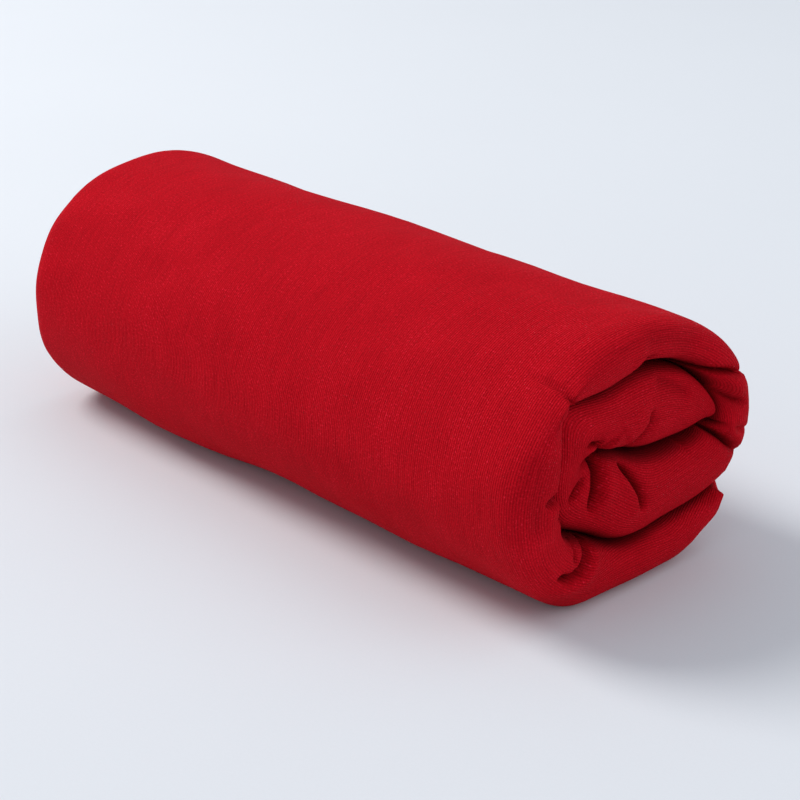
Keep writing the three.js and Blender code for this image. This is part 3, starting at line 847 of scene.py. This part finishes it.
class Finish:
    """A material, and the node tree that makes it."""

    def __init__(self, name):
        self.material = bpy.data.materials.new(name)
        self.material.use_nodes = True
        self.tree = self.material.node_tree
        self.tree.nodes.clear()
        self.output = self.tree.nodes.new("ShaderNodeOutputMaterial")

    def node(self, kind, settings, inputs, output=0):
        """A node of a kind, with its settings made first and then its sockets set or linked."""
        made = self.tree.nodes.new(kind)
        for name, value in settings.items():
            setattr(made, name, value)
        for name, value in inputs.items():
            socket = made.inputs[name]
            if isinstance(value, Value):
                self.tree.links.new(value.socket, socket)
            else:
                socket.default_value = value
        return Value(self, made.outputs[output])

    def attribute(self, name, output="Vector"):
        settings = {"attribute_type": "GEOMETRY", "attribute_name": name}
        return self.node("ShaderNodeAttribute", settings, {}, output)

    def position(self):
        return self.node("ShaderNodeTexCoord", {}, {}, "Object")

    def noise(self, vector, scale, detail=2.0, roughness=0.5):
        inputs = {"Vector": vector, "Scale": scale, "Detail": detail, "Roughness": roughness}
        return self.node("ShaderNodeTexNoise", {"noise_dimensions": "3D"}, inputs)

    def blend(self, share, first, second):
        """A mix of two colours: values, or triples in linear light."""
        first, second = (c if isinstance(c, Value) else (*c[:3], 1.0) for c in (first, second))
        inputs = {MIX_SHARE: share, MIX_FIRST: first, MIX_SECOND: second}
        return self.node("ShaderNodeMix", {"data_type": "RGBA"}, inputs, MIX_COLOUR)

    def bump(self, height, distance, strength=1.0):
        inputs = {"Height": height, "Distance": distance, "Strength": strength}
        return self.node("ShaderNodeBump", {}, inputs)

    def surface(self, **inputs):
        named = {key.replace("_", " "): value for key, value in inputs.items()}
        shader = self.node("ShaderNodeBsdfPrincipled", {}, named)
        self.tree.links.new(shader.socket, self.output.inputs["Surface"])
        return self.material


def jersey_finish(sizes, colours):
    """Single jersey: columns of loops that run round the roll, with a dry, slightly fuzzy face."""
    f = Finish("cotton_jersey")
    cloth = f.attribute("cloth")
    split = {"Vector": cloth}
    across = f.node("ShaderNodeSeparateXYZ", {}, split, "X")
    along = f.node("ShaderNodeSeparateXYZ", {}, split, "Y")
    drift = f.noise(cloth, 22.0, 1.0) * (0.9 * MM)
    column = (across + drift) / sizes.knit_pitch
    from_middle = abs(column.fraction() - 0.5) * 2
    rib = 1 - from_middle**2.2
    course = (along / (0.78 * MM) + from_middle * 0.55).fraction()
    loop = (course * (2 * math.pi)).sine() * 0.5 + 0.5
    yarn = f.noise(cloth, 1150.0, 2.0, 0.6)
    cloud = f.noise(f.position(), 42.0, 3.0, 0.55)
    streak = f.noise(
        f.node("ShaderNodeCombineXYZ", {}, {"X": across * 900.0, "Y": along * 55.0}), 1.0, 2.0
    )
    height = rib * 0.62 + loop * rib * 0.30 + yarn * 0.42 + streak * 0.25
    tone = rib * 0.34 + loop * rib * 0.12 + (yarn - 0.5) * 1.5 + (streak - 0.5) * 0.7 + 0.42
    tone = (tone + (cloud - 0.5) * 0.35).clamped()
    colour = f.blend(tone, colours.jersey_deep, colours.jersey)
    # Painted highlight: sparse glints on the crests of the ribs, blended into the colour.
    painted_glint = ((yarn - 0.60) * 9.0 + (cloud - 0.5) * 1.5).clamped() * rib * 0.75
    colour = f.blend(painted_glint, colour, colours.jersey_glint)
    # Painted shade: the colour darkens to a near black red in the creases and between the turns.
    painted_shade_share = f.attribute("painted_shade", "Fac") * 0.8
    colour = f.blend(painted_shade_share, colour, tuple(c * 0.12 for c in colours.jersey_deep))
    return f.surface(
        Base_Color=colour,
        Roughness=0.88 - 0.10 * tone,
        Specular_IOR_Level=0.04,
        Sheen_Weight=0.02,
        Sheen_Roughness=0.4,
        Sheen_Tint=(1.0, 0.08, 0.10, 1.0),
        Normal=f.bump(height, 0.34 * MM, 0.9),
    )


def woven_finish(name, colour, deep, thread, attribute=None, rough=0.9, sheen=0.0):
    """Plain weave: threads of one size crossing over and under."""
    f = Finish(name)
    place = f.position() if attribute is None else f.attribute(attribute)
    split = {"Vector": place}
    x = f.node("ShaderNodeSeparateXYZ", {}, split, "X") / thread
    y = f.node("ShaderNodeSeparateXYZ", {}, split, "Y") / thread
    warp = (x * math.pi).sine()
    weft = (y * math.pi).sine()
    over = warp * weft * 0.5 + 0.5
    fibre = f.noise(place, 0.6 / thread, 2.0)
    cloud = f.noise(place, 60.0, 2.0)
    tone = (over * 0.5 + fibre * 0.5 + (cloud - 0.5) * 0.3).clamped()
    return f.surface(
        Base_Color=f.blend(tone, deep, colour),
        Roughness=rough - 0.08 * tone,
        Specular_IOR_Level=0.25,
        Sheen_Weight=sheen,
        Normal=f.bump(over + fibre * 0.4, thread * 0.25, 0.7),
    )


def grained_finish(name, colour, deep, grain, depth, rough, sheen=0.0):
    """Wadding, foam and thread: a fine irregular grain."""
    f = Finish(name)
    place = f.position()
    grain_noise = f.noise(place, 1 / grain, 3.0, 0.6)
    inputs = {"Vector": place, "Scale": 1.4 / grain}
    cells = f.node("ShaderNodeTexVoronoi", {"feature": "F1"}, inputs)
    tone = (grain_noise * 0.9 + cells * 0.5 - 0.15).clamped()
    return f.surface(
        Base_Color=f.blend(tone, deep, colour),
        Roughness=rough - 0.08 * tone,
        Sheen_Weight=sheen,
        Specular_IOR_Level=0.3,
        Normal=f.bump(grain_noise + cells * 0.6, depth, 0.8),
    )


def zinc_finish(colours):
    """Cast zinc, tumbled: satin, with fine scratches and darker hollows."""
    f = Finish("cast_zinc")
    place = f.position()
    scratch = f.node("ShaderNodeMapping", {}, {"Vector": place, "Scale": (260.0, 2600.0, 1800.0)})
    scratches = f.noise(scratch, 1.0, 2.0)
    patina = f.noise(place, 420.0, 3.0, 0.6)
    deep = tuple(c * 0.62 for c in colours.zinc)
    return f.surface(
        Base_Color=f.blend(patina, deep, colours.zinc),
        Metallic=1.0,
        Roughness=0.26 + 0.16 * patina + 0.10 * scratches,
        Normal=f.bump(scratches + patina * 0.5, 0.03 * MM, 0.5),
    )


def nylon_finish(colours):
    """Extruded nylon, slightly polished."""
    f = Finish("coil_nylon")
    place = f.position()
    tone = f.noise(place, 900.0, 2.0)
    deep = tuple(c * 0.7 for c in colours.nylon)
    return f.surface(
        Base_Color=f.blend(tone, deep, colours.nylon),
        Roughness=0.34 + 0.12 * tone,
        Normal=f.bump(tone, 0.02 * MM, 0.5),
    )


def floor_finish(colours):
    """A plain pale surface."""
    f = Finish("floor_cloth")
    place = f.position()
    cloud = f.noise(place, 5.0, 3.0)
    grain = f.noise(place, 900.0, 2.0)
    tone = (cloud * 0.5 + grain * 0.5).clamped()
    pale = tuple(min(1, c * 1.02) for c in colours.floor)
    deep = tuple(c * 0.97 for c in colours.floor)
    return f.surface(
        Base_Color=f.blend(tone, deep, pale),
        Roughness=0.9 - 0.05 * tone,
        Specular_IOR_Level=0.15,
        Normal=f.bump(grain, 0.1 * MM, 0.25),
    )


# ---- Operators ------------------------------------------------------------------------------


def slot_sweeps(spiral):
    """Rows of the cover along the edges of the zip's slot and along its stitching."""
    start, end = spiral.panel_ends()
    length = np.linalg.norm(end - start)
    span = ZIP_PANEL_TO - ZIP_PANEL_FROM
    offsets = (0.0, 2.2, 3.6, 4.0, 4.3, 4.5, 4.75, 5.1, 5.6, 5.9, 6.2, 6.5, 6.9, 8.0)
    places = [s * d * MM for s in (-1, 1) for d in offsets]
    return sorted(ZIP_PANEL_FROM + span * (ZIP_FROM_PANEL_EDGE + p) / length for p in places)


def press_slot(places, outward, to_zip):
    """Folds the cover in along the zip, and draws it down along the topstitching."""
    matrix = np.array(to_zip)
    local = places @ matrix[:3, :3].T + matrix[:3, 3]
    x, y, z = np.abs(local[..., 0]), np.abs(local[..., 1]), local[..., 2]
    near = np.abs(z) < 6 * MM
    along = smooth((SLOT_HALF_LENGTH + 0.3 * MM - x) / (0.9 * MM))
    across = smooth((SLOT_HALF_WIDTH + 0.25 * MM - y) / (0.55 * MM))
    trough = TROUGH_DEPTH * along * across
    lip = 0.35 * MM * hump(y, 5.1 * MM, 0.6 * MM) * along
    seam = 0.5 * MM * hump(y, STITCH_AT, 0.45 * MM)
    seam = seam * smooth((STOP_END + 2 * MM - x) / (3 * MM))
    move = np.where(near, lip - trough - seam, 0.0)
    return places + outward * move[..., None]


class BOLSTER_OT_cover(bpy.types.Operator):
    """Make the jersey cover, rolled up, with its creases and the zip's slot"""

    bl_idname = "bolster.cover"
    bl_label = "Jersey cover"

    def execute(self, context):
        sizes = context.scene.bolster_sizes
        colours = context.scene.bolster_colours
        spiral = Spiral(sizes)
        rows = ply_sweeps(0.0, ROLL_SWEEP, COVER_STEP, slot_sweeps(spiral))
        nose = [0.12, 0.35, 0.7, 1.2, 1.7]
        rows = np.unique(np.round([*rows, *nose, *[ROLL_SWEEP - n * 1.6 for n in nose]], 4))
        slot_end = SLOT_HALF_LENGTH + SLOT_END_COLUMNS
        flat = flat_columns(FLAT_HALF, FLAT_SPACING, [*slot_end, *-slot_end])
        ends = (near_reach(rows), far_reach(rows))
        rounding = (sizes.near_round, sizes.far_round)
        ply = Ply(spiral, rows, flat, COVER_CAP_STEPS, ends, 0.0, rounding)
        ply.close(2.6, 8.0)
        cloth = ply.cloth_places()
        places = settle_fill(ply)
        set_ends(rows, places, ply.side, spiral)
        offset = sum(c.offset(rows, places, spiral.centre) for c in CREASES)
        inside = inside_outline(places, spiral)
        groove = np.minimum(offset, 0) * (0.25 + 0.75 * inside)
        ridge = np.maximum(offset, 0) * inside
        places = places + crease_way(places, inside) * (groove + ridge)[..., None]
        # Painted shade in the creases and in the gaps between turns, for the cloth's colour.
        painted_shade = self.painted_shade(rows, ply.side, places, groove)
        places[..., 2] = np.maximum(places[..., 2], 0.0)
        to_zip = zip_frame(spiral)
        outward = np.array(to_zip.to_3x3() @ Vector((0, 0, 1)))
        slot_rows = rows < ZIP_CLEAR_OF_FILL
        places[slot_rows] = press_slot(places[slot_rows], outward, to_zip.inverted())
        finish = jersey_finish(sizes, colours)
        hollow = lining(spiral, COVER_WALL, 3.0, ROLL_SWEEP - 8, rounding)
        cover = shell_object("jersey_cover_rolled", places, ply, hollow, finish)
        inner_cloth = hollow.cloth_places().reshape(-1, 2)
        lay_cloth(cover, np.concatenate([cloth.reshape(-1, 2), inner_cloth]))
        # The painted shade goes to the finish on the mesh. The hollow's lining is painted in full
        # shade.
        layer = cover.data.attributes.new("painted_shade", "FLOAT", "POINT")
        lining_painted_shade = np.ones(len(inner_cloth))
        layer.data.foreach_set("value", np.concatenate([painted_shade.ravel(), lining_painted_shade]).astype(np.float32))
        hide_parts("jersey_cover")
        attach(cover, "roll")
        return {"FINISHED"}

    def painted_shade(self, rows, side, places, groove):
        """Painted shade for the cloth's colour: how far the cloth lies down in a crease or between two
        turns, from 0 to 1.
        """
        # Painted shade falls in the gaps between the turns at the ends, and in the creases.
        between = np.where(side < 0, 1.0, smooth((rows - TURN) / 14)[:, None])
        at_end = smooth((np.abs(places[..., 0]) - 120 * MM) / (16 * MM))
        gap = between * at_end * smooth((np.abs(side) - 0.70) / 0.30)
        crease = np.clip(-groove / (7 * MM), 0, 1)
        return np.maximum(gap, crease)


class BOLSTER_OT_pad(bpy.types.Operator):
    """Make the pad inside the cover: its woven casing, its wadding and its foam"""

    bl_idname = "bolster.pad"
    bl_label = "Pad"

    def execute(self, context):
        sizes = context.scene.bolster_sizes
        colours = context.scene.bolster_colours
        spiral = Spiral(sizes)
        rounding = (sizes.near_round, sizes.far_round)
        casing_to = ROLL_SWEEP - CASING_END_MARGIN
        outside = lining(spiral, CASING_DEPTH, CASING_FROM, casing_to, rounding)
        inner = CASING_DEPTH + CASING_WALL
        inside = lining(spiral, inner, CASING_FROM + 1, casing_to - 1, rounding)
        cotton_deep = tuple(c * 0.86 for c in colours.cotton)
        cotton = woven_finish("casing_cotton", colours.cotton, cotton_deep, 0.5 * MM, "cloth")
        casing = shell_object("pad_casing_sewn", outside.places, outside, inside, cotton)
        cloths = [layer.cloth_places().reshape(-1, 2) for layer in (outside, inside)]
        lay_cloth(casing, np.concatenate(cloths))
        wadding_to = ROLL_SWEEP - WADDING_END_MARGIN
        outside = lining(spiral, WADDING_DEPTH, WADDING_FROM, wadding_to, rounding)
        pocket = self.slab(spiral, FOAM_CLEARANCE, FOAM_FROM - 1, FOAM_TO + 1)
        wadding_deep = tuple(c * 0.9 for c in colours.wadding)
        fluff = grained_finish("wadding_fibre", colours.wadding, wadding_deep, 1.1 * MM, 0.5 * MM, 1.0)
        wadding = shell_object("wadding_wrapped", outside.places, outside, pocket, fluff)
        slab = self.slab(spiral, 0.0, FOAM_FROM, FOAM_TO)
        foam_deep = tuple(c * 0.72 for c in colours.foam)
        cells = grained_finish("foam_cells", colours.foam, foam_deep, 0.7 * MM, 0.3 * MM, 0.95)
        foam = mesh_object("foam_rolled", slab.places.reshape(-1, 3), slab.faces(), cells)
        for piece, node, slot in (
            (casing, "pad_casing", "casing_cotton"),
            (wadding, "wadding_wrap", "wadding"),
            (foam, "foam_core", "foam"),
        ):
            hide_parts(node)
            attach(piece, "roll")
        return {"FINISHED"}

    def slab(self, spiral, clearance, start, stop):
        """The foam, or the pocket for it when it has a clearance."""
        rows = ply_sweeps(start, stop, LINING_STEP)
        outer, inner = spiral.outer(rows), spiral.inner(rows)
        wall = (np.linalg.norm(outer - inner, axis=1) - FOAM_THICKNESS) / 2 - clearance
        near = np.full(len(rows), FOAM_NEAR_END + clearance)
        far = np.full(len(rows), FOAM_FAR_END + clearance)
        rounding = (1.5 * MM, 1.5 * MM)
        flat = flat_columns(FOAM_FLAT_HALF, FLAT_SPACING)
        return Ply(spiral, rows, flat, SLAB_CAP_STEPS, (near, far), wall, rounding, 6.0)


class BOLSTER_OT_zip(bpy.types.Operator):
    """Make the zip: its tapes, coils, stops and stitching, and the finish of its slider"""

    bl_idname = "bolster.zip"
    bl_label = "Zip"

    def execute(self, context):
        sizes = context.scene.bolster_sizes
        colours = context.scene.bolster_colours
        place = zip_frame(Spiral(sizes))
        tape_deep = tuple(c * 0.6 for c in colours.tape)
        thread_deep = tuple(c * 0.7 for c in colours.thread)
        tape = woven_finish("zip_tape_cloth", colours.tape, tape_deep, 0.55 * MM)
        nylon = nylon_finish(colours)
        zinc = zinc_finish(colours)
        thread = grained_finish(
            "sewing_thread", colours.thread, thread_deep, 0.16 * MM, 0.05 * MM, 0.7, 0.2
        )
        for side, name in ((-1, "edge_side"), (1, "pad_side")):
            self.piece("zip_tape_woven_" + name, self.tape(side), tape, place, "zip_tape", name)
            self.piece("zip_coil_wound_" + name, self.coil(side), nylon, place, "zip_coil", name)
            stop = self.top_stop(side)
            self.piece("zip_top_stop_crimped_" + name, stop, zinc, place, "zip_top_stop", name)
            seam = self.stitches(side, sizes.stitch_pitch)
            self.piece("zip_topstitch_sewn_" + name, seam, thread, place, "zip_topstitch", name)
        low = (CHAIN_END + STOP_CLEARANCE, -CHAIN_HALF_WIDTH)
        bottom = self.stop_of(low, (STOP_END, CHAIN_HALF_WIDTH))
        self.piece("zip_bottom_stop_crimped", bottom, zinc, place, "zip_bottom_stop", "")
        for node in ("zip_slider_body", "zip_pull_tab"):
            self.polish(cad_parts[node], zinc)
        return {"FINISHED"}

    def piece(self, name, made, finish, place, node, half):
        """Puts a piece of the zip in its place on the roll, hides its node and hangs the piece on the
        roll's body.
        """
        places, faces = made
        matrix = np.array(place)
        turned = places @ matrix[:3, :3].T + matrix[:3, 3]
        obj = mesh_object(name, turned, faces, finish)
        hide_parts(node + "_" + half if half else node)
        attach(obj, "roll")

    def tape(self, side):
        """A woven tape that lies in soft waves where it was sewn."""
        near, far = 0.7 * MM, TAPE_HALF_WIDTH
        low_y, high_y = sorted((side * near, side * far))

        def bow(x):
            return 0.06 * MM * np.sin(x / (9 * MM) + side)

        low, high = (-STOP_END, low_y, TAPE_BOTTOM), (STOP_END, high_y, TAPE_TOP)
        return rounded_bar(low, high, 0.25 * MM, 2 * MM, bow, 8.0)

    def coil(self, side):
        """One half of the chain, wound from a single wire."""
        line, wire = coil_line(side)
        return tube(line, wire, 8)

    def stop_of(self, low, high):
        """A stop pressed from a strip of metal, with a waist where it grips the coil."""
        places, faces = rounded_bar(
            (low[0], low[1], COIL_BOTTOM), (high[0], high[1], COIL_TOP + 0.15 * MM),
            0.4 * MM, 0.25 * MM, None, 4.0,
        )
        middle = (low[0] + high[0]) / 2
        waist = hump(places[:, 0], middle, 0.35 * MM)
        top = places[:, 2] > COIL_BOTTOM + 0.8 * MM
        places[:, 2] -= 0.18 * MM * waist * top
        return places, faces

    def top_stop(self, side):
        """The stop that ends one half of the chain."""
        low_y, high_y = sorted((side * 0.7 * MM, side * CHAIN_HALF_WIDTH))
        return self.stop_of((-STOP_END, low_y), (-CHAIN_END - STOP_CLEARANCE, high_y))

    def stitches(self, side, pitch):
        """A row of lockstitches, each of them a short thread that dips into the cloth."""
        count = int(2 * STOP_END / pitch)
        made = []
        for k in range(count):
            middle = -STOP_END + (k + 0.5) * 2 * STOP_END / count
            t = np.linspace(-1, 1, 9)
            x = middle + t * pitch * 0.44
            y = np.full_like(t, side * STITCH_AT) + 0.06 * MM * t
            z = -0.15 * MM + 0.42 * MM * np.sqrt(np.clip(1 - t * t, 0, 1))
            made.append(tube(np.stack([x, y, z], axis=-1), 0.24 * MM, 8, 2))
        return joined(made)

    def polish(self, node, finish):
        """Eases the edges of a casting and gives it its metal."""
        node.data.materials.clear()
        node.data.materials.append(finish)
        ease = node.modifiers.new("eased edges", "BEVEL")
        ease.width = 0.14 * MM
        ease.segments = 2
        ease.limit_method = "ANGLE"
        ease.angle_limit = math.radians(38)
        ease.use_clamp_overlap = True
        ease.harden_normals = True


class BOLSTER_OT_label(bpy.types.Operator):
    """Make the plain satin care label"""

    bl_idname = "bolster.label"
    bl_label = "Care label"

    def execute(self, context):
        sizes = context.scene.bolster_sizes
        colours = context.scene.bolster_colours
        matrix = np.array(zip_frame(Spiral(sizes)))

        def bow(x):
            return 0.05 * MM * np.sin((x - LABEL_FROM) / (2.2 * MM))

        low = (LABEL_FROM, -LABEL_HALF_WIDTH, LABEL_TOP - LABEL_THICKNESS)
        high = (LABEL_TO, LABEL_HALF_WIDTH, LABEL_TOP)
        places, faces = rounded_bar(low, high, 0.18 * MM, 0.8 * MM, bow, 9.0)
        deep = tuple(c * 0.88 for c in colours.label)
        satin = woven_finish("label_satin", colours.label, deep, 0.22 * MM, None, 0.45, 0.3)
        turned = places @ matrix[:3, :3].T + matrix[:3, 3]
        label = mesh_object("care_label_satin", turned, faces, satin)
        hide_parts("care_label")
        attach(label, "roll")
        return {"FINISHED"}


class BOLSTER_OT_stage(bpy.types.Operator):
    """Make the floor, the light and the camera"""

    bl_idname = "bolster.stage"
    bl_label = "Stage"

    def execute(self, context):
        scene = context.scene
        colours = scene.bolster_colours
        mesh_object("floor", *self.floor(), floor_finish(colours))
        for lamp in LAMPS:
            self.light(*lamp)
        world = bpy.data.worlds.new("studio")
        world.use_nodes = True
        background = world.node_tree.nodes["Background"]
        background.inputs["Color"].default_value = SKY
        background.inputs["Strength"].default_value = SKY_STRENGTH
        scene.world = world
        scene.view_settings.view_transform = "Standard"
        scene.camera = self.camera(scene.bolster_sizes.height / 2)
        return {"FINISHED"}

    def floor(self):
        """A wide plane, just under the roll, in squares."""
        count = FLOOR_CELLS + 1
        g = np.linspace(-FLOOR_SIDE / 2, FLOOR_SIDE / 2, count)
        x, y = np.meshgrid(g, g, indexing="ij")
        places = np.stack([x, y, np.full_like(x, FLOOR_TOP)], axis=-1).reshape(-1, 3)
        i, j = np.meshgrid(np.arange(FLOOR_CELLS), np.arange(FLOOR_CELLS), indexing="ij")
        a = i * count + j
        quads = np.stack([a, a + count, a + count + 1, a + 1], axis=-1).reshape(-1, 4)
        return places, quads.tolist()

    def camera(self, aim_height):
        """A long lens that looks down at the near end from the front."""
        azimuth, elevation = math.radians(CAMERA_AZIMUTH), math.radians(CAMERA_ELEVATION)
        level = math.cos(elevation)
        forward = Vector(
            (-math.sin(azimuth) * level, math.cos(azimuth) * level, -math.sin(elevation))
        )
        right = Vector((math.cos(azimuth), math.sin(azimuth), 0))
        up = right.cross(forward)
        data = bpy.data.cameras.new("camera")
        data.lens = CAMERA_LENS
        data.sensor_width = 36
        camera = bpy.data.objects.new("camera", data)
        bpy.context.scene.collection.objects.link(camera)
        turn = Matrix((right, up, -forward)).transposed().to_4x4()
        place = Vector((0, 0, aim_height)) - forward * CAMERA_AWAY
        place = place + right * CAMERA_RIGHT - up * CAMERA_DOWN
        camera.matrix_world = Matrix.Translation(place) @ turn
        return camera

    def light(self, name, place, size, power, tint):
        """A round soft lamp aimed at the middle of the roll."""
        data = bpy.data.lights.new(name, "AREA")
        data.shape = "DISK"
        data.size = size
        data.energy = power
        data.color = tint
        lamp = bpy.data.objects.new(name, data)
        bpy.context.scene.collection.objects.link(lamp)
        lamp.location = place
        aim = Vector((0, 0, 0.05)) - Vector(place)
        lamp.rotation_euler = aim.to_track_quat("-Z", "Y").to_euler()


class BOLSTER_PT_panel(bpy.types.Panel):
    """Sizes, colours and pieces of the bolster"""

    bl_idname = "BOLSTER_PT_panel"
    bl_label = "Roll-up bolster"
    bl_space_type = "VIEW_3D"
    bl_region_type = "UI"
    bl_category = "Bolster"

    def draw(self, context):
        for group in (context.scene.bolster_sizes, context.scene.bolster_colours):
            column = self.layout.column()
            for name in group.__annotations__:
                column.prop(group, name)
        for step in STEPS:
            self.layout.operator(step.bl_idname)


STEPS = (
    BOLSTER_OT_stage,
    BOLSTER_OT_cover,
    BOLSTER_OT_pad,
    BOLSTER_OT_zip,
    BOLSTER_OT_label,
)
CLASSES = (BolsterSizes, BolsterColours, *STEPS, BOLSTER_PT_panel)


def register():
    """Adds the classes, and hangs the sizes and colours on the scene."""
    for made in CLASSES:
        bpy.utils.register_class(made)
    bpy.types.Scene.bolster_sizes = bpy.props.PointerProperty(type=BolsterSizes)
    bpy.types.Scene.bolster_colours = bpy.props.PointerProperty(type=BolsterColours)


def unregister():
    """Takes away what register added."""
    del bpy.types.Scene.bolster_colours
    del bpy.types.Scene.bolster_sizes
    for made in reversed(CLASSES):
        bpy.utils.unregister_class(made)


def main():
    """Builds the roll piece by piece."""
    register()
    bpy.ops.bolster.stage()
    bpy.ops.bolster.cover()
    bpy.ops.bolster.pad()
    bpy.ops.bolster.zip()
    bpy.ops.bolster.label()


if __name__ == "__main__":
    main()
